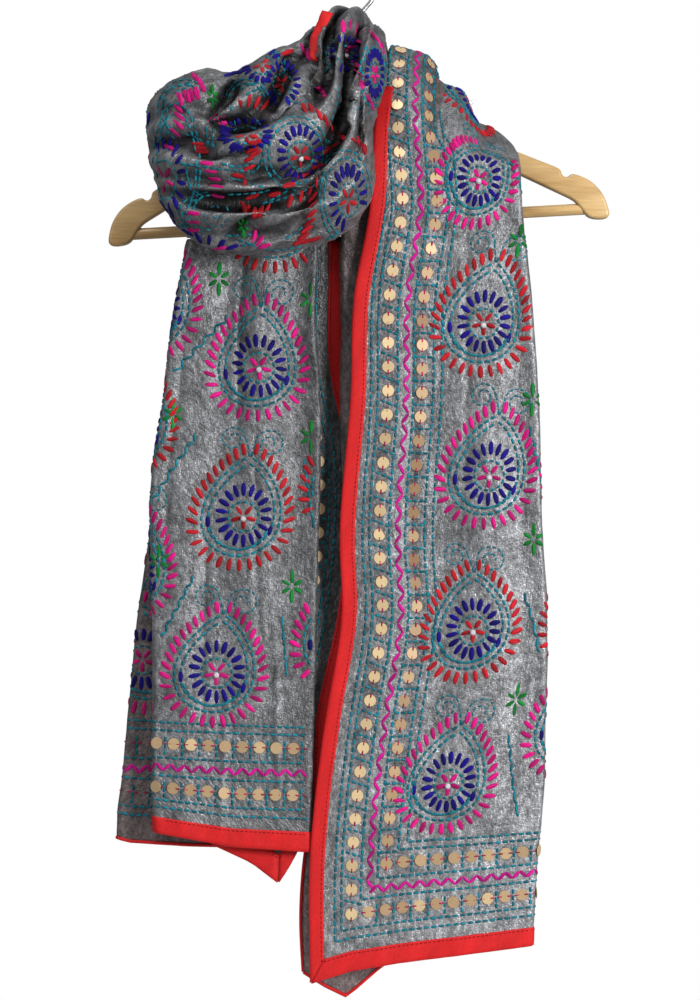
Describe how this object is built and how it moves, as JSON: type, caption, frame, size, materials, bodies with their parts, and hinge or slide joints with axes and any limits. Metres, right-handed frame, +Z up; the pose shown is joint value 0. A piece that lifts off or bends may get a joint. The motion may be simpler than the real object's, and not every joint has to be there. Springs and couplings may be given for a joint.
{
  "type": "phulkari shawl on a wooden hanger",
  "caption": "Embroidered grey shawl with a red edge tape, wound once round the neck of a flat wooden hanger, its two ends hanging down in front.",
  "frame": {"origin": "the point at the top of the hook's inner curve, where the hook bears on the rod it hangs from", "axes": "+Z up along the hanging length, +X to the viewer's right along the hanger's arms, -Y towards the front"},
  "size_m": [0.4573, 0.1977, 0.9284],
  "materials": {
    "grey_silk": "silvery slubbed silk with embroidery",
    "red_tape": "matt felt-like tape",
    "pale_wood": "clear satin varnish",
    "bright_steel": "bright wire"
  },
  "bodies": {
    "root": {"right_shoulder": "grey_silk", "neck_back": "grey_silk", "cowl": "grey_silk", "hook_wrap": "grey_silk", "left_shoulder": "grey_silk", "right_tail": "grey_silk", "left_tail": "grey_silk", "right_edge_tape": "red_tape", "right_rear_edge_tape": "red_tape", "right_hem_tape": "red_tape", "left_edge_tape": "red_tape", "left_rear_edge_tape": "red_tape", "left_hem_tape": "red_tape", "cowl_edge_tape": "red_tape", "hanger_arms": "pale_wood", "hanger_bar": "pale_wood", "hanger_hook": "bright_steel"}
  },
  "joints": []
}
